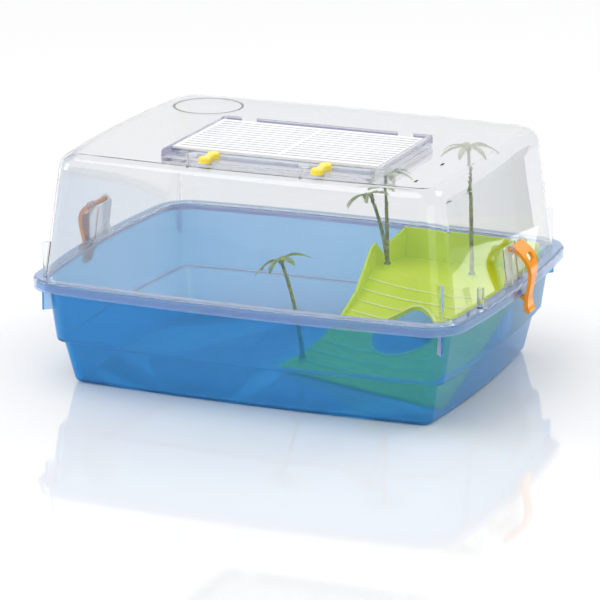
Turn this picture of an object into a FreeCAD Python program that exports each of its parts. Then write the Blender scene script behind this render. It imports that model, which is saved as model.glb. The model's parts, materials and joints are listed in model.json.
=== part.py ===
import FreeCAD, Part
import math
import os

V = FreeCAD.Vector
ALONG_X = V(1, 0, 0)
ALONG_Y = V(0, 1, 0)
ALONG_Z = V(0, 0, 1)

# Lengths are in millimetres, angles in degrees. The origin lies on the floor
# below the middle of the tank, the long side runs along X, the front faces -Y.

# Clearances
seat_gap = 0.3
turn_gap = 0.1
fit_gap = 0.05
overrun = 5.0
match_tolerance = 0.01

# Plan of the tank at the edge of the cover's flange
tank_length = 500.0
tank_depth = 395.0
end_bow = 1450.0
side_bow = 2650.0
corner_radius = 42.0
least_corner_radius = 12.0

# Tub
tub_wall = 2.6
rim_height = 117.0
rim_lip_height = 8.0
wall_top_setback = 14.5
ledge_height = 48.0
ledge_edge_setback = 24.0
ledge_width = 7.0
floor_setback = 41.0
floor_fillet = 8.0
ledge_fillet = 3.0
tub_fin_height = 30.0
tub_fin_reach = 35.5

# Cover
cover_wall = 2.2
skirt_height = 11.8
flange_fillet = 3.5
cover_foot_setback = 12.0
cover_top_height = 251.3
cover_top_end_setback = 29.0
cover_top_side_setback = 27.0
cover_top_corner_radius = 27.0
cover_top_fillet = 18.6
cover_fin_height = 38.0
cover_fin_reach = 34.0
fin_thickness = 3.2
corner_angle = 45.0

# Post on the cover's right flange
post_end_setback = 10.0
post_front_setback = 92.5
post_radius = 3.7
post_height = 21.0
post_bore_radius = 2.2
post_bore_depth = 12.0

# Two short slots in the cover's top
slot_end_setback = 74.0
slot_front_setbacks = (73.5, 149.5)
slot_length = 9.0
slot_width = 2.6

# Round port in the cover's top and its cap
port_end_setback = 95.0
port_back_setback = 93.5
port_radius = 39.0
port_step_width = 2.5
port_step_share = 0.5

# Hatch
hatch_length = 239.0
hatch_depth = 167.0
hatch_middle_x = 19.5
hatch_front_setback = 52.5
hatch_height = 12.7
hatch_wall = 2.6
hatch_corner_radius = 5.0
ledge_plate_height = 3.5
ledge_plate_depth = 26.0
deck_height = 7.6
deck_thickness = 2.4
deck_border = 5.0
opening_inset = 12.0

# Hatch hinge
hinge_spacing = 179.0
hinge_axis_height = 4.4
hinge_bead_radius = 3.6
hinge_top_fillet = 5.0
hinge_lug_width = 17.4
hinge_lug_radius = 3.4
hinge_notch_radius = 5.4
hinge_pin_radius = 1.3
hinge_pin_hold = 7.0

# Vent grille
grille_thickness = 2.2
grille_border = 5.0
grille_rib_width = 4.0
grille_slot_count = 13
grille_bar_share = 0.5

# Hatch latches
latch_spacing = 125.0
latch_shift_x = -3.5
latch_inset = 5.5
latch_lobe_reach = 11.2
latch_lobe_radius = 6.6
latch_waist = 8.0
latch_thickness = 6.2
latch_edge_fillet = 2.2
latch_stem_radius = 2.6
latch_head_radius = 3.7
latch_head_height = 1.2

# Keepers for the latches, hooks pushed into slots in the cover's top
keeper_offset = 18.0
keeper_reach = 10.0
keeper_wall = 2.4
keeper_depth = 6.0
keeper_lead = 11.0

# End clips: the strap runs through these points, given as distance outside
# the flange edge, height above the flange and half thickness
clip_strap = (
    (-9.0, 39.5, 3.0),
    (1.2, 34.0, 1.9),
    (8.6, 21.5, 2.0),
    (9.6, 10.5, 2.0),
    (7.4, -3.0, 2.0),
    (5.6, -15.5, 2.2),
    (7.2, -28.0, 2.8),
)
# Half widths of the strap with their heights above the flange
clip_widths = (
    (16.0, 43.5),
    (16.0, 32.5),
    (11.0, 18.5),
    (6.5, -0.5),
    (7.0, -12.5),
    (8.8, -22.5),
    (7.0, -29.5),
)
clip_tip_rise = -32.5
clip_slot_half_width = 7.5
clip_slot_bottom_rise = 25.0
clip_slot_top_rise = 33.5
clip_slot_radius = 2.5
clip_tooth_half_width = 5.5
clip_tooth_reach = 2.0
clip_tooth_drop = 0.7
clip_tooth_tip_height = 2.4
clip_tooth_root_height = 6.6
clip_trunnion_radius = 2.0

# Brackets of the end clips
cheek_thickness = 3.2
cheek_radius = 5.2
cheek_root = 18.0
cheek_rib_reach = 3.0

# Platform and ramp, plan points as distances from the right end and the back
platform_wall = 2.6
platform_height = 85.0
back_wall_rise = 34.0
side_wall_rise = 12.0
platform_setback = 27.6
ramp_foot_setback = 51.0
ramp_start = (214.0, 90.5)
ramp_heading = 18.0
ramp_run = 146.0
ramp_foot_height = 5.7
ramp_bend = (214.0, 135.5)
ramp_curve = (229.0, 183.5)
ramp_tip = (270.0, 230.5)
plateau_back_corner = (197.0, 27.5)
plateau_left_corner = (214.0, 79.5)
side_wall_start = 153.5
back_wall_start = 47.5
# Left wall: plan point and height above the surface beside it
left_wall = (
    (197.0, 29.0, back_wall_rise),
    (206.0, 51.5, 23.0),
    (209.5, 63.5, 9.0),
    (*plateau_left_corner, 26.0),
    (*ramp_start, 24.0),
    (*ramp_bend, 9.0),
    (219.8, 159.5, 4.0),
    (*ramp_curve, 1.0),
)
left_wall_root = 1.6
tread_count = 9
tread_pitch = 14.5
tread_width = 1.6
tread_height = 0.9
tread_radius = 560.0
tread_centre_shift = 60.0
tread_edge = 4.0
# Opening in the ramp, plan points of its smooth outline
ramp_opening = (
    (172.0, 188.5),
    (112.0, 212.5),
    (101.0, 202.5),
    (117.0, 164.5),
    (140.0, 153.5),
    (153.0, 162.5),
)
opening_bead_width = 2.2
opening_bead_height = 1.2

# Palms: foot on the platform, sideways shift of each trunk's top, and its
# share of the height between the foot and the cover's ceiling
socket_radius = 5.2
socket_rise = 3.4
socket_depth = 5.0
peg_radius = 2.2
peg_length = 6.0
trunk_foot_radius = 2.9
trunk_top_radius = 2.1
trunk_collar_radius = 4.0
trunk_collar_height = 2.4
trunk_bend_share = 0.35
spigot_radius = 1.4
spigot_length = 3.0
front_palm_foot = (240.0, 220.5)
front_palm_shift = -24.0
front_palm_height_share = 0.44
pair_palm_foot = (199.0, 77.5)
pair_left_shift = -20.0
pair_left_height_share = 0.47
pair_right_shift = -3.0
pair_right_height_share = 0.61
back_palm_foot = (100.0, 81.5)
back_palm_shift = -5.0
back_palm_height_share = 0.85

# Palm crowns
hub_radius = 3.6
hub_top_radius = 2.0
hub_height = 6.0
frond_count = 7
frond_length = 34.0
frond_rise = 25.0
frond_droop = 45.0
frond_thickness = 1.2
frond_widths = (4.0, 9.5, 8.0, 2.0)
front_crown_turn = 10.0
pair_left_crown_turn = 25.7
pair_right_crown_turn = 0.0
back_crown_turn = 15.0

# Worked-out levels
half_length = tank_length / 2
half_depth = tank_depth / 2
rim_setback = cover_wall + seat_gap
rim_underside = rim_height - tub_wall
ledge_inner_setback = ledge_edge_setback + ledge_width
ledge_top = ledge_height + tub_wall
flange_underside = rim_height + seat_gap
flange_top = flange_underside + cover_wall
skirt_bottom = flange_top - skirt_height
ceiling = cover_top_height - cover_wall
hatch_bottom = cover_top_height + seat_gap
hatch_top = hatch_bottom + hatch_height
hatch_front_y = hatch_front_setback - half_depth
hatch_left_x = hatch_middle_x - hatch_length / 2
hatch_right_x = hatch_middle_x + hatch_length / 2
hatch_back_y = hatch_front_y + hatch_depth
ledge_plate_top = hatch_bottom + ledge_plate_height
riser_y = hatch_front_y + ledge_plate_depth
deck_top = hatch_bottom + deck_height
hinge_y = hatch_back_y - hinge_bead_radius
hinge_z = cover_top_height + hinge_axis_height
hinge_xs = (hatch_middle_x - hinge_spacing / 2, hatch_middle_x + hinge_spacing / 2)
latch_xs = (
    hatch_middle_x + latch_shift_x - latch_spacing / 2,
    hatch_middle_x + latch_shift_x + latch_spacing / 2,
)
latch_y = hatch_front_y + latch_inset
latch_bottom = ledge_plate_top + seat_gap
latch_top = latch_bottom + latch_thickness
keeper_front_y = hatch_front_y - keeper_lead
lip_bottom = latch_top + seat_gap
lip_top = lip_bottom + keeper_wall
port_x = port_end_setback - half_length
port_y = half_depth - port_back_setback
post_x = half_length - post_end_setback
post_y = post_front_setback - half_depth
post_top = flange_top + post_height
slot_x = half_length - slot_end_setback
slot_ys = tuple(setback - half_depth for setback in slot_front_setbacks)
clip_pivot_x = half_length + clip_strap[0][0]
clip_pivot_z = flange_top + clip_strap[0][1]
clip_half_width = clip_widths[0][0]
cheek_inner_y = clip_half_width + seat_gap
floor_top = tub_wall + seat_gap
platform_back_height = platform_height + back_wall_rise
platform_side_height = platform_height + side_wall_rise
ramp_slope = math.degrees(math.atan((platform_height - ramp_foot_height) / ramp_run))
front_palm = (front_palm_foot, front_palm_shift, front_palm_height_share)
pair_left_palm = (pair_palm_foot, pair_left_shift, pair_left_height_share)
pair_right_palm = (pair_palm_foot, pair_right_shift, pair_right_height_share)
back_palm = (back_palm_foot, back_palm_shift, back_palm_height_share)


def box(x0, x1, y0, y1, z0, z1):
    """Box between two corners."""
    return Part.makeBox(x1 - x0, y1 - y0, z1 - z0, V(x0, y0, z0))


def cylinder(radius, start, end):
    """Round rod from one point to another."""
    return Part.makeCylinder(radius, (end - start).Length, start, end - start)


def circle_meeting(centre_a, radius_a, centre_b, radius_b):
    """Point at the front right where two circles meet."""
    apart = centre_b - centre_a
    distance = apart.Length
    along = (distance ** 2 + radius_a ** 2 - radius_b ** 2) / (2 * distance)
    across = math.sqrt(radius_a ** 2 - along ** 2)
    unit = apart / distance
    normal = V(-unit.y, unit.x, 0)
    points = [centre_a + unit * along + normal * across, centre_a + unit * along - normal * across]
    return max(points, key=lambda p: p.x - p.y)


def plan_wire(end_setback, side_setback, corner, height):
    """Bowed rectangle with rounded corners, set back from the flange edge."""
    a = half_length - end_setback
    b = half_depth - side_setback
    end_radius = end_bow - end_setback
    side_radius = side_bow - side_setback
    front_centre = V(0, side_radius - b, 0)
    end_centre = V(a - end_radius, 0, 0)
    centre = circle_meeting(front_centre, side_radius - corner, end_centre, end_radius - corner)
    to_front = centre - front_centre
    to_end = centre - end_centre
    front_joint = front_centre + to_front / to_front.Length * side_radius
    end_joint = end_centre + to_end / to_end.Length * end_radius
    outward = front_joint + end_joint - centre * 2
    middle = centre + outward / outward.Length * corner

    def at(point, sx, sy):
        return V(point.x * sx, point.y * sy, height)

    front = V(0, -b, 0)
    end = V(a, 0, 0)
    arcs = [
        (at(front_joint, -1, 1), at(front, 1, 1), at(front_joint, 1, 1)),
        (at(front_joint, 1, 1), at(middle, 1, 1), at(end_joint, 1, 1)),
        (at(end_joint, 1, 1), at(end, 1, 1), at(end_joint, 1, -1)),
        (at(end_joint, 1, -1), at(middle, 1, -1), at(front_joint, 1, -1)),
        (at(front_joint, 1, -1), at(front, 1, -1), at(front_joint, -1, -1)),
        (at(front_joint, -1, -1), at(middle, -1, -1), at(end_joint, -1, -1)),
        (at(end_joint, -1, -1), at(end, -1, 1), at(end_joint, -1, 1)),
        (at(end_joint, -1, 1), at(middle, -1, 1), at(front_joint, -1, 1)),
    ]
    return Part.Wire([Part.Arc(*points).toShape() for points in arcs])


def level(setback, height):
    """Plan wire with the same setback all round."""
    return plan_wire(setback, setback, max(corner_radius - setback, least_corner_radius), height)


def between(*wires):
    """Solid with straight flanks between plan wires."""
    return Part.makeLoft(list(wires), True, True)


def slab(setback, z0, z1):
    """Upright solid on one plan."""
    return Part.Face(level(setback, z0)).extrude(V(0, 0, z1 - z0))


def edges_at(shape, height):
    """Edges that lie flat at one height."""
    return [
        edge
        for edge in shape.Edges
        if abs(edge.BoundBox.ZMin - height) < match_tolerance
        and abs(edge.BoundBox.ZMax - height) < match_tolerance
    ]


def upright_edges(shape):
    """Straight edges that stand upright."""
    return [
        edge
        for edge in shape.Edges
        if edge.BoundBox.XLength < match_tolerance and edge.BoundBox.YLength < match_tolerance
    ]


def mirrored(shape):
    """Copy on the other end of the tank."""
    return shape.mirror(V(0, 0, 0), ALONG_X)


def corner_fins(reach, z0, z1):
    """Four upright plates that stand diagonally in the corners."""
    centre_x = half_length - corner_radius
    centre_y = half_depth - corner_radius
    sag_x = centre_y ** 2 / (2 * end_bow)
    sag_y = centre_x ** 2 / (2 * side_bow)
    fins = []
    for turn in (0, 1):
        for side in (1, -1):
            plate = box(0, reach, -fin_thickness / 2, fin_thickness / 2, z0, z1)
            plate = plate.makeFillet(fin_thickness / 2 - fit_gap, upright_edges(plate)[2:])
            plate.rotate(V(0, 0, 0), ALONG_Z, side * corner_angle)
            plate.translate(V(centre_x - sag_x, side * (centre_y - sag_y), 0))
            fins.append(mirrored(plate) if turn else plate)
    return fins


def base_tub():
    lower = between(level(floor_setback, 0), level(ledge_inner_setback, ledge_height))
    lower = lower.makeFillet(floor_fillet, edges_at(lower, 0))
    upper = between(level(ledge_edge_setback, ledge_height), level(wall_top_setback, rim_underside))
    upper = upper.makeFillet(ledge_fillet, edges_at(upper, ledge_height))
    fins = corner_fins(tub_fin_reach, rim_underside - tub_fin_height, rim_underside)
    rim = slab(rim_setback, rim_underside, rim_height)
    rim = rim.makeFillet(tub_wall / 2, edges_at(rim, rim_height))
    lip = slab(rim_setback, rim_height - rim_lip_height, rim_underside)
    lip = lip.cut(slab(rim_setback + tub_wall, rim_height - rim_lip_height, rim_underside))
    inner_floor = between(
        level(floor_setback + tub_wall, tub_wall), level(ledge_inner_setback + tub_wall, ledge_top)
    )
    inner_floor = inner_floor.makeFillet(floor_fillet - tub_wall, edges_at(inner_floor, tub_wall))
    inner_wall = between(
        level(ledge_edge_setback + tub_wall, ledge_top), level(wall_top_setback + tub_wall, rim_height)
    )
    body = lower.fuse([upper, rim, lip] + fins)
    return body.cut([inner_floor, inner_wall]).removeSplitter()


def cover_solid(inset):
    """Block that fills the cover, drawn in by an inset on every face."""
    foot = flange_top if inset == 0 else flange_underside
    top = cover_top_height - inset
    block = between(
        level(cover_foot_setback + inset, foot),
        plan_wire(
            cover_top_end_setback + inset,
            cover_top_side_setback + inset,
            cover_top_corner_radius - inset,
            top,
        ),
    )
    return block.makeFillet(cover_top_fillet - inset, edges_at(block, top))


def clip_cheeks():
    """Pair of bracket cheeks on the right end, with the pivot holes."""
    cheeks = []
    for side in (1, -1):
        y0 = side * cheek_inner_y
        y1 = side * (cheek_inner_y + cheek_thickness)
        eye = cylinder(cheek_radius, V(clip_pivot_x, y0, clip_pivot_z), V(clip_pivot_x, y1, clip_pivot_z))
        rib = box(
            clip_pivot_x - cheek_root,
            clip_pivot_x + cheek_rib_reach,
            min(y0, y1),
            max(y0, y1),
            flange_top,
            clip_pivot_z,
        )
        cheeks.append(eye.fuse(rib))
    reach = cheek_inner_y + cheek_thickness + overrun
    hole = cylinder(
        clip_trunnion_radius + turn_gap,
        V(clip_pivot_x, -reach, clip_pivot_z),
        V(clip_pivot_x, reach, clip_pivot_z),
    )
    return [cheek.cut(hole) for cheek in cheeks]


def keeper_post(x, grow):
    """Upright post of a keeper, grown on its four sides."""
    left = x - keeper_offset
    return box(
        left - grow,
        left + keeper_wall + grow,
        keeper_front_y - grow,
        keeper_front_y + keeper_depth + grow,
        ceiling,
        lip_top,
    )


def latch_keeper(x):
    """Hook that the front lobe of a latch turns into."""
    left = x - keeper_offset
    back_y = keeper_front_y + keeper_depth
    lip = box(left, left + keeper_reach, keeper_front_y, back_y, lip_bottom, lip_top)
    return keeper_post(x, 0).fuse(lip).removeSplitter()


def hinge_lug(x):
    """Upright lug on the cover that carries one hinge pin."""
    x0 = x - hinge_lug_width / 2
    x1 = x + hinge_lug_width / 2
    eye = cylinder(hinge_lug_radius, V(x0, hinge_y, hinge_z), V(x1, hinge_y, hinge_z))
    foot = box(x0, x1, hinge_y - hinge_lug_radius, hinge_y + hinge_lug_radius, ceiling, hinge_z)
    bore = cylinder(
        hinge_pin_radius + turn_gap, V(x0 - overrun, hinge_y, hinge_z), V(x1 + overrun, hinge_y, hinge_z)
    )
    return eye.fuse(foot).cut(bore)


def port_solid(gap, bottom, top):
    """Stepped round plug, smaller by a gap, between two heights."""
    step = ceiling + cover_wall * port_step_share
    wide = cylinder(port_radius - gap, V(port_x, port_y, step), V(port_x, port_y, top))
    narrow_radius = port_radius - port_step_width - gap
    narrow = cylinder(narrow_radius, V(port_x, port_y, bottom), V(port_x, port_y, step))
    return wide.fuse(narrow).removeSplitter()


def cover():
    outer = cover_solid(0)
    skirt = slab(0, skirt_bottom, flange_top)
    skirt = skirt.makeFillet(flange_fillet, edges_at(skirt, flange_top))
    fin_top = flange_top + cover_fin_height
    fins = [fin.cut(outer) for fin in corner_fins(cover_fin_reach, flange_top, fin_top)]
    outside = []
    for cheek in clip_cheeks():
        outside.append(cheek)
        outside.append(mirrored(cheek))
    outside = [piece.cut(outer) for piece in outside]
    post = cylinder(post_radius, V(post_x, post_y, flange_underside), V(post_x, post_y, post_top))
    body = outer.fuse([skirt, post] + fins + outside)
    rim_room = slab(cover_wall, skirt_bottom, flange_underside)
    opening = box(
        hatch_left_x + opening_inset,
        hatch_right_x - opening_inset,
        riser_y + hatch_wall,
        hinge_y - opening_inset,
        ceiling - cover_top_fillet,
        cover_top_height,
    )
    cuts = [rim_room, cover_solid(cover_wall), opening, port_solid(0, ceiling, cover_top_height)]
    cuts += [keeper_post(x, fit_gap) for x in latch_xs]
    for y in slot_ys:
        cuts.append(
            box(
                slot_x - slot_width / 2,
                slot_x + slot_width / 2,
                y - slot_length / 2,
                y + slot_length / 2,
                ceiling,
                cover_top_height,
            )
        )
    bore_bottom = V(post_x, post_y, post_top - post_bore_depth)
    cuts.append(cylinder(post_bore_radius, bore_bottom, V(post_x, post_y, post_top)))
    body = body.cut(cuts)
    return body.fuse([hinge_lug(x) for x in hinge_xs]).removeSplitter()


def port_cap():
    return port_solid(turn_gap, ceiling, cover_top_height)


def hatch_frame():
    inner_left = hatch_left_x + hatch_wall
    inner_right = hatch_right_x - hatch_wall
    block = box(hatch_left_x, hatch_right_x, hatch_front_y, hatch_back_y, hatch_bottom, hatch_top)
    block = block.makeFillet(hatch_corner_radius, upright_edges(block)[:2])
    back_top = [e for e in edges_at(block, hatch_top) if e.BoundBox.YMin > hinge_y]
    block = block.makeFillet(hinge_top_fillet, back_top)
    inner_back = hatch_back_y - hatch_wall
    over = hatch_top + overrun
    under = hatch_bottom - overrun
    above_ledge = box(inner_left, inner_right, hatch_front_y - overrun, riser_y, ledge_plate_top, over)
    above_deck = box(inner_left, inner_right, riser_y, inner_back, deck_top, over)
    below_deck = box(
        inner_left, inner_right, riser_y + hatch_wall, inner_back, under, deck_top - deck_thickness
    )
    window = box(
        inner_left + deck_border,
        inner_right - deck_border,
        riser_y + hatch_wall + deck_border,
        hinge_y - hinge_notch_radius - deck_border,
        hatch_bottom,
        hatch_top,
    )
    frame = block.cut([above_ledge, above_deck, below_deck, window])
    bead_left = V(hatch_left_x, hinge_y, hinge_z)
    bead = cylinder(hinge_bead_radius, bead_left, V(hatch_right_x, hinge_y, hinge_z))
    bead = bead.common(box(hatch_left_x, hatch_right_x, hinge_y, hatch_back_y, hatch_bottom, over))
    low_back = box(
        hatch_left_x - overrun, hatch_right_x + overrun, hinge_y, hatch_back_y + overrun, under, hinge_z
    )
    frame = frame.cut(low_back).fuse(bead)
    cuts = []
    for x in hinge_xs:
        half = hinge_lug_width / 2 + seat_gap
        cuts.append(
            box(
                x - half,
                x + half,
                hinge_y - hinge_notch_radius,
                hatch_back_y + overrun,
                under,
                over,
            )
        )
    for x in latch_xs:
        bottom = V(x, latch_y, hatch_bottom)
        head_room = V(x, latch_y, hatch_bottom + latch_head_height + 2 * seat_gap)
        cuts.append(cylinder(latch_stem_radius + turn_gap, bottom, V(x, latch_y, ledge_plate_top)))
        cuts.append(cylinder(latch_head_radius + seat_gap, bottom, head_room))
    frame = frame.cut(cuts)
    sleeves = []
    for x in hinge_xs:
        for side in (1, -1):
            x0 = x + side * (hinge_lug_width / 2 + seat_gap)
            x1 = x0 + side * (hinge_pin_hold + hatch_wall)
            sleeves.append(cylinder(hinge_bead_radius, V(x0, hinge_y, hinge_z), V(x1, hinge_y, hinge_z)))
    frame = frame.fuse(sleeves)
    return frame.cut([hinge_pin(x) for x in hinge_xs]).removeSplitter()


def hinge_pin(x):
    half = hinge_lug_width / 2 + seat_gap + hinge_pin_hold
    return cylinder(hinge_pin_radius, V(x - half, hinge_y, hinge_z), V(x + half, hinge_y, hinge_z))


def vent_grille():
    x0 = hatch_left_x + hatch_wall + seat_gap
    x1 = hatch_right_x - hatch_wall - seat_gap
    y0 = riser_y + seat_gap
    y1 = hinge_y - hinge_notch_radius - seat_gap
    z1 = deck_top + grille_thickness
    plate = box(x0, x1, y0, y1, deck_top, z1)
    pitch = (y1 - y0 - 2 * grille_border) / grille_slot_count
    bar = pitch * grille_bar_share
    halves = (
        (x0 + grille_border, hatch_middle_x - grille_rib_width / 2),
        (hatch_middle_x + grille_rib_width / 2, x1 - grille_border),
    )
    slots = []
    for row in range(grille_slot_count):
        low = y0 + grille_border + row * pitch + bar / 2
        for left, right in halves:
            slots.append(box(left, right, low, low + pitch - bar, deck_top, z1))
    return plate.cut(slots)


def latch_knob(x):
    lobes = []
    for side in (1, -1):
        y = latch_y + side * latch_lobe_reach
        lobes.append(cylinder(latch_lobe_radius, V(x, y, latch_bottom), V(x, y, latch_top)))
    waist = box(
        x - latch_waist / 2,
        x + latch_waist / 2,
        latch_y - latch_lobe_reach,
        latch_y + latch_lobe_reach,
        latch_bottom,
        latch_top,
    )
    knob = waist.fuse(lobes).removeSplitter()
    knob = knob.makeFillet(latch_edge_fillet, edges_at(knob, latch_top))
    head_bottom = hatch_bottom + seat_gap
    stem = cylinder(latch_stem_radius, V(x, latch_y, head_bottom), V(x, latch_y, latch_bottom))
    head_top = V(x, latch_y, head_bottom + latch_head_height)
    head = cylinder(latch_head_radius, V(x, latch_y, head_bottom), head_top)
    return knob.fuse([stem, head]).removeSplitter()


def smooth(points):
    """Smooth curve through points."""
    curve = Part.BSplineCurve()
    curve.interpolate(points)
    return curve


def strap_face():
    """Side view of the clip's strap, with round ends."""
    middle = smooth([V(half_length + out, 0, flange_top + rise) for out, rise, half in clip_strap])
    outer = []
    inner = []
    tips = []
    for out, rise, half in clip_strap:
        point = V(half_length + out, 0, flange_top + rise)
        tangent = middle.tangent(middle.parameter(point))[0]
        normal = tangent.cross(ALONG_Y)
        outer.append(point + normal * half)
        inner.append(point - normal * half)
        tips.append((point - tangent * half, point + tangent * half))
    edges = [
        smooth(outer).toShape(),
        Part.Arc(outer[-1], tips[-1][1], inner[-1]).toShape(),
        smooth(inner[::-1]).toShape(),
        Part.Arc(inner[0], tips[0][0], outer[0]).toShape(),
    ]
    return Part.Face(Part.Wire(edges))


def width_face():
    """End view of the clip: wide at the pivot, narrow neck, flared tail."""
    right = [V(0, half, flange_top + rise) for half, rise in clip_widths]
    left = [V(0, -half, flange_top + rise) for half, rise in clip_widths]
    tip = V(0, 0, flange_top + clip_tip_rise)
    edges = [
        Part.makeLine(left[0], right[0]),
        smooth(right).toShape(),
        Part.Arc(right[-1], tip, left[-1]).toShape(),
        smooth(left[::-1]).toShape(),
    ]
    return Part.Face(Part.Wire(edges))


def end_clip():
    strap = strap_face().extrude(ALONG_Y * (2 * clip_half_width))
    strap.translate(ALONG_Y * -clip_half_width)
    outline = width_face().extrude(ALONG_X * (2 * tank_length))
    strap = strap.common(outline)
    slot = box(
        half_length,
        tank_length,
        -clip_slot_half_width,
        clip_slot_half_width,
        flange_top + clip_slot_bottom_rise,
        flange_top + clip_slot_top_rise,
    )
    along = [e for e in slot.Edges if e.BoundBox.XLength > half_length - match_tolerance]
    slot = slot.makeFillet(clip_slot_radius, along)
    strap = strap.cut(slot)
    tooth_top = skirt_bottom - clip_tooth_drop
    tip_x = half_length - clip_tooth_reach
    root_x = half_length + clip_strap[5][0]
    tooth = Part.Face(
        Part.makePolygon(
            [
                V(root_x, -clip_tooth_half_width, tooth_top),
                V(tip_x, -clip_tooth_half_width, tooth_top),
                V(tip_x, -clip_tooth_half_width, tooth_top - clip_tooth_tip_height),
                V(root_x, -clip_tooth_half_width, tooth_top - clip_tooth_root_height),
                V(root_x, -clip_tooth_half_width, tooth_top),
            ]
        )
    ).extrude(ALONG_Y * (2 * clip_tooth_half_width))
    reach = cheek_inner_y + cheek_thickness
    trunnion = cylinder(
        clip_trunnion_radius, V(clip_pivot_x, -reach, clip_pivot_z), V(clip_pivot_x, reach, clip_pivot_z)
    )
    return strap.fuse([tooth, trunnion]).removeSplitter()


def heading_vectors():
    """Level directions along the ramp's head line and uphill."""
    angle = math.radians(ramp_heading)
    along = V(math.cos(angle), -math.sin(angle), 0)
    uphill = V(math.sin(angle), math.cos(angle), 0)
    return along, uphill


def from_back_right(setbacks):
    """Plan point at distances from the right end and the back."""
    return V(half_length - setbacks[0], half_depth - setbacks[1], 0)


def surface_height(point):
    """Height of the walking surface at a plan point."""
    uphill = heading_vectors()[1]
    down = (from_back_right(ramp_start) - point).dot(uphill)
    return platform_height - max(down, 0) * math.tan(math.radians(ramp_slope))


def on_slope(low, high):
    """Sloping layer between two distances above the ramp surface."""
    layer = box(-tank_length, tank_length, -tank_length, 0, low, high)
    layer.rotate(V(0, 0, 0), ALONG_X, ramp_slope)
    layer.rotate(V(0, 0, 0), ALONG_Z, -ramp_heading)
    layer.translate(from_back_right(ramp_start) + ALONG_Z * platform_height)
    return layer


def ramp_prism(inset):
    """Upright solid over the ramp's plan, drawn in from its left and foot."""
    along, uphill = heading_vectors()
    start = from_back_right(ramp_start)
    shift = along * inset
    foot = -uphill * (ramp_run - inset)
    tip = from_back_right(ramp_tip)
    tip = tip + uphill * ((start + foot - tip).dot(uphill))
    far = along * tank_length
    bend = from_back_right(ramp_bend) + shift
    edges = [
        Part.makeLine(start + shift, bend),
        Part.Arc(bend, from_back_right(ramp_curve) + shift, tip + shift).toShape(),
        Part.makeLine(tip + shift, tip + far),
        Part.makeLine(tip + far, start + far),
        Part.makeLine(start + far, start + shift),
    ]
    prism = Part.Face(Part.Wire(edges)).extrude(V(0, 0, platform_back_height))
    inside = between(
        level(ramp_foot_setback + inset, 0),
        level(platform_setback + platform_wall + inset, platform_height),
        level(platform_setback + platform_wall + inset, platform_back_height),
    )
    return prism.common(inside)


def opening_prism(grow):
    """Upright solid over the ramp's opening, grown outward."""
    points = [from_back_right(setbacks) for setbacks in ramp_opening]
    middle = V(0, 0, 0)
    for point in points:
        middle = middle + point / len(points)
    points = [p + (p - middle) / (p - middle).Length * grow for p in points]
    curve = Part.BSplineCurve()
    curve.interpolate(points, PeriodicFlag=True)
    return Part.Face(Part.Wire(curve.toShape())).extrude(V(0, 0, platform_back_height))


def left_wall_solid():
    """Wall along the left edge, lower beside the palms and down the ramp."""
    sections = []
    for *setbacks, rise in left_wall:
        point = from_back_right(setbacks)
        low = point + ALONG_Z * (surface_height(point) - left_wall_root)
        high = point + ALONG_Z * (surface_height(point) + rise)
        across = ALONG_X * platform_wall
        corners = [low, low + across, high + across, high]
        sections.append(Part.makePolygon(corners + corners[:1]))
    return Part.makeLoft(sections, True, True)


def palm_base(foot):
    """Point on top of the socket that a palm stands in."""
    point = from_back_right(foot)
    return point + ALONG_Z * (surface_height(point) + socket_rise)


def palm_rise(foot, shift, height_share):
    """Way from a palm's base to the top of its trunk."""
    return V(shift, 0, (ceiling - palm_base(foot).z) * height_share)


def platform():
    along, uphill = heading_vectors()
    start = from_back_right(ramp_start)
    back_corner = from_back_right(plateau_back_corner)
    corners = [
        start,
        start + along * tank_length,
        V(tank_length, tank_length, 0),
        V(back_corner.x, tank_length, 0),
        back_corner,
        from_back_right(plateau_left_corner),
        start,
    ]
    plateau_plan = Part.Face(Part.makePolygon(corners)).extrude(V(0, 0, platform_back_height))
    plate = plateau_plan.common(slab(platform_setback, platform_height - platform_wall, platform_height))
    wall_bottom = ledge_top + seat_gap
    back = slab(platform_setback, wall_bottom, platform_back_height)
    back = back.cut(slab(platform_setback + platform_wall, wall_bottom, platform_back_height))
    back_y = half_depth - back_wall_start
    side_y = half_depth - side_wall_start
    back_part = back.common(box(back_corner.x, half_length, back_y, half_depth, 0, platform_back_height))
    side_part = back.common(box(0, half_length, side_y, back_y, 0, platform_side_height))
    side_part = side_part.common(plateau_plan)
    ramp = ramp_prism(0).common(on_slope(-platform_wall, 0))
    ramp = ramp.common(slab(0, floor_top, platform_height))
    treads = []
    centre = start + along * tread_centre_shift + uphill * tread_radius
    field = ramp_prism(tread_edge).common(on_slope(-left_wall_root, tread_height))
    field = field.cut(opening_prism(tread_edge))
    for step in range(tread_count):
        radius = tread_radius + (step + 1) * tread_pitch
        ring = cylinder(radius + tread_width, centre, centre + ALONG_Z * platform_height)
        ring = ring.cut(cylinder(radius, centre, centre + ALONG_Z * platform_height))
        treads.append(field.common(ring))
    bead = opening_prism(opening_bead_width).common(on_slope(-left_wall_root, opening_bead_height))
    sockets = []
    holes = []
    for foot in (front_palm_foot, pair_palm_foot, back_palm_foot):
        top = palm_base(foot)
        sockets.append(cylinder(socket_radius, top - ALONG_Z * (socket_rise + socket_depth), top))
        holes.append(cylinder(peg_radius + fit_gap, top - ALONG_Z * (peg_length + overrun), top))
    body = plate.fuse([back_part, side_part, ramp, left_wall_solid(), bead] + treads + sockets)
    return body.cut([opening_prism(0)] + holes).removeSplitter()


def top_heading(foot, shift, height_share):
    """Direction in which a trunk's top points."""
    rise = palm_rise(foot, shift, height_share)
    return V(rise.x * (3 - 4 * trunk_bend_share), 0, rise.z).normalize()


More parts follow.
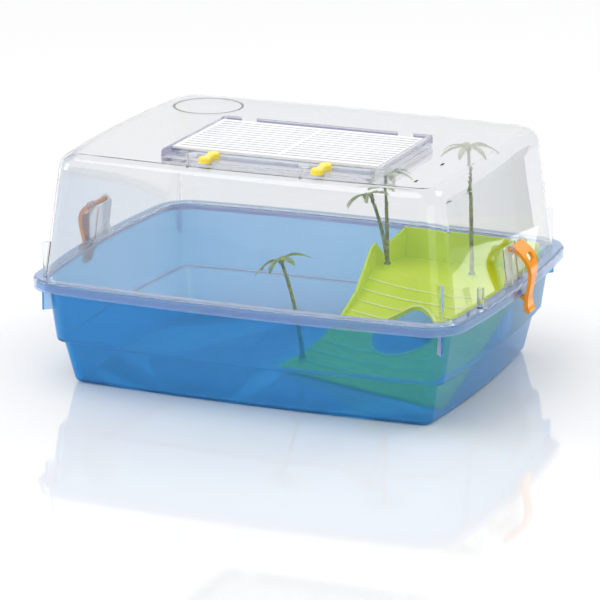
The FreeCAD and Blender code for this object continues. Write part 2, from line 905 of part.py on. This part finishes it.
def trunk_line(foot, shift, height_share):
    """Trunk that rises from its foot and bends more as it leans."""
    base = palm_base(foot)
    rise = palm_rise(foot, shift, height_share)
    heading = top_heading(foot, shift, height_share)
    top = base + rise
    middle = base + V(rise.x * trunk_bend_share, 0, rise.z / 2)
    rings = []
    for point, radius, normal in (
        (base, trunk_foot_radius, ALONG_Z),
        (middle, (trunk_foot_radius + trunk_top_radius) / 2, rise),
        (top, trunk_top_radius, heading),
    ):
        rings.append(Part.Wire(Part.makeCircle(radius, point, normal)))
    spigot = cylinder(spigot_radius, top, top + heading * spigot_length)
    return Part.makeLoft(rings, True, False).fuse(spigot)


def palm_trunk(*palms):
    """Trunks that share one foot."""
    base = palm_base(palms[0][0])
    collar = cylinder(trunk_collar_radius, base, base + ALONG_Z * trunk_collar_height)
    peg = cylinder(peg_radius, base - ALONG_Z * peg_length, base)
    return collar.fuse([peg] + [trunk_line(*palm) for palm in palms]).removeSplitter()


def frond():
    """One drooping leaf that starts on the crown's axis."""
    first = math.radians(frond_rise)
    last = -math.radians(frond_droop)
    radius = frond_length / (first - last)
    sections = []
    for number, width in enumerate(frond_widths):
        angle = first + (last - first) * number / (len(frond_widths) - 1)
        out = radius * (math.sin(first) - math.sin(angle))
        point = V(out, 0, radius * (math.cos(angle) - math.cos(first)))
        up = V(-math.sin(angle), 0, math.cos(angle)) * (frond_thickness / 2)
        side = ALONG_Y * (width / 2)
        corners = [point - side - up, point + side - up, point + side + up, point - side + up]
        sections.append(Part.makePolygon(corners + corners[:1]))
    return Part.makeLoft(sections, True, True)


def palm_crown(palm, turn):
    """Hub with a ring of leaves, set square on the trunk's top."""
    hub = Part.makeCone(hub_radius, hub_top_radius, hub_height)
    leaves = []
    for number in range(frond_count):
        leaf = frond()
        leaf.translate(ALONG_Z * (hub_height / 2))
        leaf.rotate(V(0, 0, 0), ALONG_Z, turn + 360 * number / frond_count)
        leaves.append(leaf)
    bore = cylinder(spigot_radius + fit_gap, V(0, 0, 0), ALONG_Z * (spigot_length + fit_gap))
    crown = hub.fuse(leaves).cut(bore).removeSplitter()
    top = palm_base(palm[0]) + palm_rise(*palm)
    crown.Placement = FreeCAD.Placement(top, FreeCAD.Rotation(ALONG_Z, top_heading(*palm)))
    return crown


os.makedirs("parts", exist_ok=True)
right_clip = end_clip()
pieces = {
    "base_tub": base_tub(),
    "cover": cover(),
    "port_cap": port_cap(),
    "hatch_frame": hatch_frame(),
    "vent_grille": vent_grille(),
    "hinge_pin_left": hinge_pin(hinge_xs[0]),
    "hinge_pin_right": hinge_pin(hinge_xs[1]),
    "latch_knob_left": latch_knob(latch_xs[0]),
    "latch_knob_right": latch_knob(latch_xs[1]),
    "latch_keeper_left": latch_keeper(latch_xs[0]),
    "latch_keeper_right": latch_keeper(latch_xs[1]),
    "end_clip_left": mirrored(right_clip),
    "end_clip_right": right_clip,
    "platform": platform(),
    "front_palm_trunk": palm_trunk(front_palm),
    "front_palm_crown": palm_crown(front_palm, front_crown_turn),
    "pair_palm_trunk": palm_trunk(pair_left_palm, pair_right_palm),
    "pair_palm_crown_left": palm_crown(pair_left_palm, pair_left_crown_turn),
    "pair_palm_crown_right": palm_crown(pair_right_palm, pair_right_crown_turn),
    "back_palm_trunk": palm_trunk(back_palm),
    "back_palm_crown": palm_crown(back_palm, back_crown_turn),
}
for name, shape in pieces.items():
    shape.exportStep("parts/" + name + ".step")
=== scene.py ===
import json
import math
import random

import bpy
from mathutils import Matrix, Vector


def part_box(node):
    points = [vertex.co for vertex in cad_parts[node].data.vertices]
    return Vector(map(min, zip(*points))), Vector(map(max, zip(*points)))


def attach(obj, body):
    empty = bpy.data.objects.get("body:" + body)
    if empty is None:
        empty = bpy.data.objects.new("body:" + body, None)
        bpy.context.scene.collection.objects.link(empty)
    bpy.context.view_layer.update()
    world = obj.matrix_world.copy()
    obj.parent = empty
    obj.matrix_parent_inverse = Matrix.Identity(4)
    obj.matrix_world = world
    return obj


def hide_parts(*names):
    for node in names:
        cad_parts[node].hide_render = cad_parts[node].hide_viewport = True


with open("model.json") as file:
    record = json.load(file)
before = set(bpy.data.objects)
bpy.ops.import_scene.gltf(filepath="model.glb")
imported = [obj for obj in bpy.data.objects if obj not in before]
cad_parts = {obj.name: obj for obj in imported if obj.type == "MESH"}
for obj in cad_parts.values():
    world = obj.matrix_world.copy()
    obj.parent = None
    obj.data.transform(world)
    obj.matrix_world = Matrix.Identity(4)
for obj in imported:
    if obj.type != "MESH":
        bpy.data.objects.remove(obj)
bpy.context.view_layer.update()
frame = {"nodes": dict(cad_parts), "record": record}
nodes = frame["nodes"]

MM = 0.001


def shade(colour, factor):
    """The colour made darker or paler by a factor."""
    return tuple(c * factor for c in colour)


# Camera of the photograph
CAMERA_PLACE = (1469.6 * MM, -3544.3 * MM, 1180.3 * MM)
CAMERA_AZIMUTH = 22.56
CAMERA_ELEVATION = 16.09
CAMERA_FOCAL = 223.43
CAMERA_REACH = 100
SENSOR_WIDTH = 36.0

# Colours, linear
TUB_BLUE = (0.015, 0.36, 0.82)
# Pale inner colour of the tub: painted light on its lit inner faces.
TUB_INSIDE_LIT = (0.92, 0.81, 0.95)
CLEAR_FACING = (0.89, 0.90, 0.91)
# CLEAR_EDGE: painted shade where one looks along the clear walls.
CLEAR_EDGE = (0.76, 0.78, 0.82)
FLANGE_PALE = (0.58, 0.75, 0.95)
BRACKET_PALE = (0.95, 0.93, 0.94)
PORT_CLEAR = (0.98, 0.98, 0.98)
HATCH_FACING = (0.90, 0.91, 0.965)
# HATCH_EDGE: painted shade where one looks along the hatch's walls.
HATCH_EDGE = (0.72, 0.71, 0.86)
HATCH_VIOLET = (0.22, 0.21, 0.46)
GRILLE_WHITE = (0.86, 0.86, 0.87)
LATCH_YELLOW = (1.0, 0.78, 0.07)
CLIP_ORANGE = (1.0, 0.36, 0.012)
LIME = (0.68, 0.90, 0.012)
LIME_PALE = (0.74, 0.93, 0.03)
# Pale tread tops: painted highlight where the raised treads catch the light.
TREAD_HIGHLIGHT = (0.86, 0.96, 0.34)
TRUNK_DARK = (0.10, 0.14, 0.03)
TRUNK_OLIVE = (0.34, 0.42, 0.13)
LEAF_DARK = (0.07, 0.12, 0.03)
LEAF_PALE = (0.42, 0.56, 0.13)
FLOOR_WHITE = (0.88, 0.88, 0.885)
CARD_GREY = (0.18, 0.20, 0.15)
CARD_WHITE = (1, 1, 1)

# Clear plastics: colour square on, colour along the wall as painted shade, clearness, coat,
# refraction.
# A weak refraction below a glossy coat keeps the walls free of dark lines.
CLEAR_BEND = 1.12
CLEAR_FINISHES = {
    "cover_clear": (CLEAR_FACING, CLEAR_EDGE, 1.0, 1.0, CLEAR_BEND),
    "cover_flange": (FLANGE_PALE, shade(FLANGE_PALE, 0.9), 0.85, 1.0, CLEAR_BEND),
    "cover_bracket": (BRACKET_PALE, shade(BRACKET_PALE, 0.9), 0.6, 1.0, CLEAR_BEND),
    "port_edge": (PORT_CLEAR, shade(PORT_CLEAR, 0.97), 1.0, 0.0, 1.01),
    "hatch_clear": (HATCH_FACING, HATCH_EDGE, 0.8, 1.0, CLEAR_BEND),
    "hatch_violet": (HATCH_VIOLET, shade(HATCH_VIOLET, 0.85), 0.6, 0.3, CLEAR_BEND),
}
CLEAR_ROUGHNESS = 0.02
COAT_BEND = 1.45
# Painted shade along the walls: its blend, and where it starts and ends.
EDGE_BLEND = 0.5
EDGE_START = 0.62
EDGE_END = 1.0

# Plastics of the tub: colour, clearness, roughness
TUB_FINISHES = {
    "tub_blue": (TUB_BLUE, 0.95, 0.05),
    # Inner faces: paler, less clear finish, painted light where the inside is lit.
    "tub_inside": (TUB_INSIDE_LIT, 0.55, 0.03),
}
TUB_BEND = 1.4
TUB_GLOSS = 0.12
TUB_DRIFT = 1.06
TUB_DRIFT_SCALE = 4.0

# Solid plastics: two close colours, roughness, scale of their drift,
# scale and strength of the fine bumps
SOLID_FINISHES = {
    "grille_white": (GRILLE_WHITE, shade(GRILLE_WHITE, 1.06), 0.35, 30.0, 300.0, 0.1),
    "latch_yellow": (LATCH_YELLOW, shade(LATCH_YELLOW, 0.93), 0.22, 60.0, 250.0, 0.06),
    "clip_orange": (CLIP_ORANGE, shade(CLIP_ORANGE, 0.9), 0.2, 40.0, 200.0, 0.06),
    "platform_green": (LIME, LIME_PALE, 0.38, 12.0, 160.0, 0.1),
    # Tread tops: painted highlight.
    "tread_pale": (TREAD_HIGHLIGHT, shade(TREAD_HIGHLIGHT, 0.94), 0.35, 20.0, 160.0, 0.1),
    "palm_trunk": (TRUNK_DARK, TRUNK_OLIVE, 0.5, 160.0, 700.0, 0.4),
    "palm_leaf": (LEAF_DARK, LEAF_PALE, 0.45, 90.0, 600.0, 0.3),
}
SOLID_BEND = 1.48

# Bumps (scale, strength, distance) and drift of the colours
CLEAR_BUMP = (9.0, 0.05, 0.002)
TUB_BUMP = (14.0, 0.05, 0.002)
SOLID_BUMP_DISTANCE = 0.001
BUMP_DETAIL = 4.0
DRIFT_DETAIL = 3.0
DRIFT_START = 0.3
DRIFT_END = 0.7

# Slots that share the finish of another slot
SHARED = {
    "cap_clear": "cover_clear",
    "pin_clear": "hatch_clear",
    "keeper_clear": "hatch_clear",
}

# Where the cover changes its finish, in millimetres: port, flange and clip brackets
PORT_PLACE = (-155.0, 104.0, 0.0)
PORT_REACH = 40.5
FLANGE_TOP = 119.8
BRACKET_START = 233.5
BRACKET_HALF = 17.0

# Tests for faces: parts of a normal, and lengths in millimetres
UPRIGHT = 0.5
SQUARE_ON = 0.9
HATCH_EDGE_DEPTH = 1.0
INSIDE_HEIGHT = 100.0
SLOPE_LEAST = 0.6
SLOPE_MOST = 0.98
SAME_SLOPE = 0.999
TREAD_RISE = 0.3

# Palms: base, sideways shift and height of each trunk, turn of its crown
FRONT_PALM = ((10.0, -23.0, 16.9), -24.0, 102.2, 10.0)
PAIR_LEFT_PALM = ((51.0, 120.0, 88.4), -20.0, 75.5, 25.7)
PAIR_RIGHT_PALM = ((51.0, 120.0, 88.4), -3.0, 98.0, 0.0)
BACK_PALM = ((150.0, 116.0, 88.4), -5.0, 136.6, 15.0)

# Seed of the random draws in bark and leaves
PALM_SEED = 7

# Trunks: radii at the foot and the top, shares of the shift that lean and bend
TRUNK_RADII = (2.9, 2.1)
TRUNK_LEAN = 0.4
TRUNK_BEND = 0.6
TRUNK_SIDES = 14

# Each bark ring: shares of the pitch and of the trunk's radius
RING_PITCH = 3.8
BARK_RING = ((0.0, 0.72), (0.7, 0.99), (0.86, 0.90))
BARK_JITTER = 0.16

# Collar at the foot and hub at the top: rise and radius
COLLAR = ((0.0, 3.9), (1.44, 3.666), (2.4, 3.042))
COLLAR_JITTER = 0.05
HUB = ((0.0, 3.3), (1.8, 3.5), (4.2, 2.9), (5.7, 1.4))
HUB_JITTER = 0.12

# Leaves: angles of the rib at its root and tip, full widths along it
FROND_COUNT = 7
FROND_LENGTH = 34.0
FROND_RISE = 25.0
FROND_DROOP = 45.0
FROND_ROOT = 3.0
FROND_WIDTHS = (4.0, 9.5, 8.0, 2.0)
RIB_RINGS = 10
RIB_SIDES = 6
RIB_RADIUS = 0.75
RIB_TAPER = 0.055

# Leaflets: first share of the rib and span, least and random sweep and sink
LEAFLETS = 14
LEAFLET_FIRST = 0.12
LEAFLET_SPAN = 0.86
LEAFLET_REACH = 1.12
LEAFLET_SWEEP = (0.75, 0.3)
LEAFLET_SINK = (0.16, 0.16)
LEAFLET_WIDTH = 1.45
LEAFLET_FOLD = 0.35
LEAFLET_INSET = 0.1
BLADE_MIDDLE = 0.45

# Studio, in metres
WORLD_STRENGTH = 0.98
FLOOR_SIZE = 30
FLOOR_ROUGHNESS = 0.05
FLOOR_BEND = 1.7
CARD_ROUGHNESS = 0.8
LAMP_TARGET = (0, 0, 0.12)

# Lamps: place, size, power
LAMPS = {
    "top": ((-0.5, -0.5, 2.3), (1.7, 1.1), 10),
    "back": ((1.1, 1.3, 1.7), (1.2, 0.8), 7),
    "side": ((1.9, -1.5, 0.45), (1.3, 0.7), 2.5),
    "left": ((-2.0, -0.7, 0.7), (0.5, 1.0), 8),
}

# Cards: corners, colour, glow
GREY_CORNERS = ((0.45, 0.9, 0.0), (1.3, 0.9, 0.0), (1.3, 0.9, 0.4), (0.45, 0.9, 0.4))
WHITE_CORNERS = ((0.42, 0.3, 0.002), (0.8, 0.3, 0.002), (0.8, 0.88, 0.002), (0.42, 0.88, 0.002))
CARDS = {
    "grey_card": (GREY_CORNERS, CARD_GREY, 0.0),
    "white_card": (WHITE_CORNERS, CARD_WHITE, 0.7),
}


# Finishes
def new_material(name):
    """Material and its Principled shader, ready to be filled in."""
    material = bpy.data.materials.new(name)
    material.use_nodes = True
    return material, material.node_tree.nodes["Principled BSDF"]


def set_values(shader, **values):
    """Sets sockets of the shader by name, with _ for a blank."""
    for name, value in values.items():
        shader.inputs[name.replace("_", " ")].default_value = value


def add_noise(material, scale, detail):
    """Noise over the piece, in its own coordinates."""
    tree = material.node_tree
    place = tree.nodes.new("ShaderNodeTexCoord")
    noise = tree.nodes.new("ShaderNodeTexNoise")
    noise.inputs["Scale"].default_value = scale
    noise.inputs["Detail"].default_value = detail
    tree.links.new(place.outputs["Object"], noise.inputs["Vector"])
    return noise.outputs["Fac"]


def add_ramp(material, source, low, high, start, end):
    """Lets the base colour run from one colour to another with a source."""
    tree = material.node_tree
    ramp = tree.nodes.new("ShaderNodeValToRGB")
    first, last = ramp.color_ramp.elements
    first.position, last.position = start, end
    first.color, last.color = (*low, 1), (*high, 1)
    tree.links.new(source, ramp.inputs["Fac"])
    shader = tree.nodes["Principled BSDF"]
    tree.links.new(ramp.outputs["Color"], shader.inputs["Base Color"])


def add_bump(material, scale, strength, distance):
    """Fine unevenness of a moulded surface."""
    tree = material.node_tree
    bump = tree.nodes.new("ShaderNodeBump")
    bump.inputs["Strength"].default_value = strength
    bump.inputs["Distance"].default_value = distance
    tree.links.new(add_noise(material, scale, BUMP_DETAIL), bump.inputs["Height"])
    shader = tree.nodes["Principled BSDF"]
    tree.links.new(bump.outputs["Normal"], shader.inputs["Normal"])


def vary_colour(material, low, high, scale):
    """Slow drift between two close colours over the surface."""
    noise = add_noise(material, scale, DRIFT_DETAIL)
    add_ramp(material, noise, low, high, DRIFT_START, DRIFT_END)


def edge_painted_shade(material, facing, edge):
    """Paints shade on clear plastic where one looks along its wall."""
    weight = material.node_tree.nodes.new("ShaderNodeLayerWeight")
    weight.inputs["Blend"].default_value = EDGE_BLEND
    add_ramp(material, weight.outputs["Facing"], facing, edge, EDGE_START, EDGE_END)


def clear_plastic(name, facing, edge, clearness, coat, bend):
    material, shader = new_material(name)
    set_values(shader, Roughness=CLEAR_ROUGHNESS, IOR=bend, Transmission_Weight=clearness)
    set_values(shader, Coat_Weight=coat, Coat_IOR=COAT_BEND, Coat_Roughness=CLEAR_ROUGHNESS)
    edge_painted_shade(material, facing, edge)
    add_bump(material, *CLEAR_BUMP)
    return material


def tub_plastic(name, colour, clearness, roughness):
    material, shader = new_material(name)
    set_values(shader, Roughness=roughness, IOR=TUB_BEND)
    set_values(shader, Specular_IOR_Level=TUB_GLOSS, Transmission_Weight=clearness)
    vary_colour(material, colour, shade(colour, TUB_DRIFT), TUB_DRIFT_SCALE)
    add_bump(material, *TUB_BUMP)
    return material


def solid_plastic(name, low, high, roughness, drift_scale, bump_scale, bump_strength):
    material, shader = new_material(name)
    set_values(shader, Roughness=roughness, IOR=SOLID_BEND)
    vary_colour(material, low, high, drift_scale)
    add_bump(material, bump_scale, bump_strength, SOLID_BUMP_DISTANCE)
    return material


materials = {}
for make, finishes in (
    (clear_plastic, CLEAR_FINISHES),
    (tub_plastic, TUB_FINISHES),
    (solid_plastic, SOLID_FINISHES),
):
    for name, values in finishes.items():
        materials[name] = make(name, *values)

slot_of = {part["node"]: part["material_slot"] for part in frame["record"]["subparts"]}
for name, obj in nodes.items():
    slot = slot_of[name]
    obj.data.materials.clear()
    obj.data.materials.append(materials[SHARED.get(slot, slot)])


# Finishes by face
def face_where(node, finish, test):
    """Gives the faces of a node that pass a test their own finish."""
    mesh = nodes[node].data
    mesh.materials.append(materials[finish])
    number = len(mesh.materials) - 1
    for face in mesh.polygons:
        if test(face.center / MM, face.normal):
            face.material_index = number


def at_flange(place, normal):
    return place.z < FLANGE_TOP


def at_bracket(place, normal):
    beside = abs(place.x) > BRACKET_START and abs(place.y) < BRACKET_HALF
    return beside and place.z > FLANGE_TOP


def at_port(place, normal):
    away = (place - Vector(PORT_PLACE)).xy.length
    return away < PORT_REACH and abs(normal.z) < UPRIGHT


def at_hatch_edge(place, normal):
    """Back and left edges of the hatch, which look violet in the photo."""
    back = normal.y > SQUARE_ON and place.y > hatch_box[1].y / MM - HATCH_EDGE_DEPTH
    left = normal.x < -SQUARE_ON and place.x < hatch_box[0].x / MM + HATCH_EDGE_DEPTH
    return back or left


def at_lit_inner_face(place, normal):
    """Faces that look to the tub's middle, or up where they lie flat, which get the paler
    finish of painted light.
    """
    return normal.dot(Vector((-place.x, -place.y, INSIDE_HEIGHT))) > 0


def at_treads(node):
    """Test for the faces that stand out from the widest slope, the ramp's; they carry a painted
    highlight.
    """

    def is_sloped(normal):
        return SLOPE_LEAST < normal.z < SLOPE_MOST

    sloped = [face for face in nodes[node].data.polygons if is_sloped(face.normal)]
    widest = max(sloped, key=lambda face: face.area)
    slope, middle = widest.normal.copy(), widest.center / MM

    def test(place, normal):
        along = is_sloped(normal) and normal.dot(slope) > SAME_SLOPE
        return along and (place - middle).dot(slope) > TREAD_RISE

    return test


hatch_box = [Vector(corner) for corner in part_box("hatch_frame")]
face_where("cover", "cover_flange", at_flange)
face_where("cover", "cover_bracket", at_bracket)
face_where("cover", "port_edge", at_port)
face_where("port_cap", "port_edge", at_port)
face_where("hatch_frame", "hatch_violet", at_hatch_edge)
# Painted light: the tub's inner faces take the paler finish.
face_where("base_tub", "tub_inside", at_lit_inner_face)
# Painted highlight on the tread tops.
face_where("platform", "tread_pale", at_treads("platform"))


# Palms
class Shape:
    """Points and faces of one piece, in millimetres."""

    def __init__(self):
        self.points = []
        self.faces = []

    def ring(self, centre, direction, radius, sides, jitter=0.0):
        """Adds a ring of points square to a direction and returns their numbers."""
        turn = direction.to_track_quat("Z", "X")
        first = len(self.points)
        for number in range(sides):
            angle = 2 * math.pi * number / sides
            reach = radius * (1 - jitter * random.random())
            out = Vector((math.cos(angle) * reach, math.sin(angle) * reach, 0))
            self.points.append(centre + turn @ out)
        return list(range(first, first + sides))

    def skin(self, rings):
        """Closes a run of rings into a tube with flat ends."""
        sides = len(rings[0])
        for low, high in zip(rings, rings[1:]):
            for number in range(sides):
                after = (number + 1) % sides
                self.faces.append((low[number], low[after], high[after], high[number]))
        self.faces.append(tuple(reversed(rings[0])))
        self.faces.append(tuple(rings[-1]))

    def turned(self, base, up, profile, jitter):
        """Adds a round body from the rises and radii of its profile."""
        rings = []
        for rise, radius in profile:
            rings.append(self.ring(base + up * rise, up, radius, TRUNK_SIDES, jitter))
        self.skin(rings)

    def blade(self, root, tip, side, width, fold):
        """Adds a folded leaf blade from its root to its tip."""
        first = len(self.points)
        middle = root.lerp(tip, BLADE_MIDDLE)
        self.points += [root, middle + side * width, tip, middle - side * width, middle + fold]
        for number in range(4):
            self.faces.append((first + number, first + (number + 1) % 4, first + 4))

    def piece(self, name, slot, *replaced):
        """Makes the piece, which rides on the platform in place of a node."""
        mesh = bpy.data.meshes.new(name)
        mesh.from_pydata([point * MM for point in self.points], [], self.faces)
        mesh.update()
        for face in mesh.polygons:
            face.use_smooth = True
        obj = bpy.data.objects.new(name, mesh)
        bpy.context.scene.collection.objects.link(obj)
        mesh.materials.append(materials[slot])
        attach(obj, "platform")
        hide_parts(*replaced)


def trunk_point(palm, share):
    base, shift, height, turn = palm
    sideways = shift * (TRUNK_LEAN * share + TRUNK_BEND * share ** 2)
    return Vector(base) + Vector((sideways, 0, height * share))


def trunk_slant(palm, share):
    """Sideways step of the trunk at a share of its height."""
    return palm[1] * (TRUNK_LEAN + 2 * TRUNK_BEND * share)


def add_trunk(shape, palm):
    """Stack of slightly flared rings, as on a palm's bark, with a collar at the foot."""
    base, shift, height, turn = palm
    count = round(height / RING_PITCH)
    low, high = TRUNK_RADII
    rings = []
    for number in range(count):
        for part, width in BARK_RING:
            share = (number + part) / count
            centre = trunk_point(palm, share)
            heading = Vector((trunk_slant(palm, share), 0, height)).normalized()
            radius = (low + (high - low) * share) * width
            rings.append(shape.ring(centre, heading, radius, TRUNK_SIDES, BARK_JITTER * width))
    shape.skin(rings)
    shape.turned(Vector(base), Vector((0, 0, 1)), COLLAR, COLLAR_JITTER)


def frond_width(share):
    """Half width of a leaf at a share of its length."""
    place = share * (len(FROND_WIDTHS) - 1)
    number = min(int(place), len(FROND_WIDTHS) - 2)
    low, high = FROND_WIDTHS[number:number + 2]
    return (low + (high - low) * (place - number)) / 2


def frond_place(top, spin, share):
    """Point, heading and normal of a leaf's rib at a share of its length."""
    first = math.radians(FROND_RISE)
    last = -math.radians(FROND_DROOP)
    radius = FROND_LENGTH / (first - last)
    angle = first + (last - first) * share
    out = radius * (math.sin(first) - math.sin(angle))
    rise = radius * (math.cos(angle) - math.cos(first))
    along = spin @ Vector((math.cos(angle), 0, math.sin(angle)))
    normal = spin @ Vector((-math.sin(angle), 0, math.cos(angle)))
    return top + spin @ Vector((out, 0, rise + FROND_ROOT)), along, normal


def add_frond(shape, top, spin):
    """Rib with a leaflet on either side at each step."""
    rib = []
    for step in range(RIB_RINGS):
        point, along, normal = frond_place(top, spin, step / (RIB_RINGS - 1))
        rib.append(shape.ring(point, along, RIB_RADIUS - RIB_TAPER * step, RIB_SIDES))
    shape.skin(rib)
    across = spin @ Vector((0, 1, 0))
    for step in range(LEAFLETS):
        share = LEAFLET_FIRST + LEAFLET_SPAN * step / (LEAFLETS - 1)
        point, along, normal = frond_place(top, spin, share)
        reach = frond_width(share) * LEAFLET_REACH
        for side in (1, -1):
            sweep = LEAFLET_SWEEP[0] + LEAFLET_SWEEP[1] * random.random()
            sink = LEAFLET_SINK[0] + LEAFLET_SINK[1] * random.random()
            tip = point + (across * side + along * sweep - normal * sink) * reach
            root = point - normal * LEAFLET_INSET
            shape.blade(root, tip, along, LEAFLET_WIDTH, normal * LEAFLET_FOLD)


def add_crown(shape, palm):
    """Hub with feathered leaves that rise a little and droop at their tips."""
    base, shift, height, turn = palm
    top = trunk_point(palm, 1.0)
    tilt = Matrix.Rotation(math.atan2(trunk_slant(palm, 1.0), height), 3, "Y")
    shape.turned(top, tilt @ Vector((0, 0, 1)), HUB, HUB_JITTER)
    for number in range(FROND_COUNT):
        angle = math.radians(turn + 360 * number / FROND_COUNT)
        add_frond(shape, top, tilt @ Matrix.Rotation(angle, 3, "Z"))


def add_palm(name, palms, crowns):
    trunk = Shape()
    for palm in palms:
        add_trunk(trunk, palm)
    trunk.piece(name + "_bark", "palm_trunk", name + "_trunk")
    for crown_name, palm in zip(crowns, palms):
        crown = Shape()
        add_crown(crown, palm)
        crown.piece(crown_name + "_leaves", "palm_leaf", crown_name)


random.seed(PALM_SEED)
add_palm("front_palm", [FRONT_PALM], ["front_palm_crown"])
add_palm(
    "pair_palm",
    [PAIR_LEFT_PALM, PAIR_RIGHT_PALM],
    ["pair_palm_crown_left", "pair_palm_crown_right"],
)
add_palm("back_palm", [BACK_PALM], ["back_palm_crown"])


# Studio
def add_world():
    world = bpy.data.worlds.new("studio")
    bpy.context.scene.world = world
    world.use_nodes = True
    background = world.node_tree.nodes["Background"]
    background.inputs["Color"].default_value = (1, 1, 1, 1)
    background.inputs["Strength"].default_value = WORLD_STRENGTH


def add_floor():
    bpy.ops.mesh.primitive_plane_add(size=FLOOR_SIZE)
    floor = bpy.context.object
    floor.name = "floor"
    material, shader = new_material("floor")
    set_values(shader, Base_Color=(*FLOOR_WHITE, 1), Roughness=FLOOR_ROUGHNESS, IOR=FLOOR_BEND)
    floor.data.materials.append(material)


def add_card(name, corners, colour, glow):
    """Card that is seen in reflections alone."""
    mesh = bpy.data.meshes.new(name)
    mesh.from_pydata(corners, [], [(0, 1, 2, 3)])
    obj = bpy.data.objects.new(name, mesh)
    bpy.context.scene.collection.objects.link(obj)
    material, shader = new_material(name)
    set_values(shader, Base_Color=(*colour, 1), Roughness=CARD_ROUGHNESS)
    set_values(shader, Emission_Color=(*colour, 1), Emission_Strength=glow)
    mesh.materials.append(material)
    obj.visible_camera = obj.visible_diffuse = False
    obj.visible_transmission = obj.visible_shadow = False


def add_lamp(name, place, size, power):
    """Soft rectangular lamp that points at the tank."""
    lamp = bpy.data.lights.new(name, "AREA")
    lamp.shape = "RECTANGLE"
    lamp.size, lamp.size_y = size
    lamp.energy = power
    obj = bpy.data.objects.new(name, lamp)
    bpy.context.scene.collection.objects.link(obj)
    obj.location = place
    view = Vector(LAMP_TARGET) - Vector(place)
    obj.rotation_euler = view.to_track_quat("-Z", "Y").to_euler()


def add_camera():
    data = bpy.data.cameras.new("camera")
    data.lens = CAMERA_FOCAL
    data.sensor_width = SENSOR_WIDTH
    data.clip_end = CAMERA_REACH
    camera = bpy.data.objects.new("camera", data)
    bpy.context.scene.collection.objects.link(camera)
    camera.location = CAMERA_PLACE
    pitch, turn = math.radians(90 - CAMERA_ELEVATION), math.radians(CAMERA_AZIMUTH)
    camera.rotation_euler = (pitch, 0, turn)
    bpy.context.scene.camera = camera


add_world()
add_floor()
for name, values in CARDS.items():
    add_card(name, *values)
for name, values in LAMPS.items():
    add_lamp(name, *values)
add_camera()
bpy.context.scene.view_settings.view_transform = "Standard"
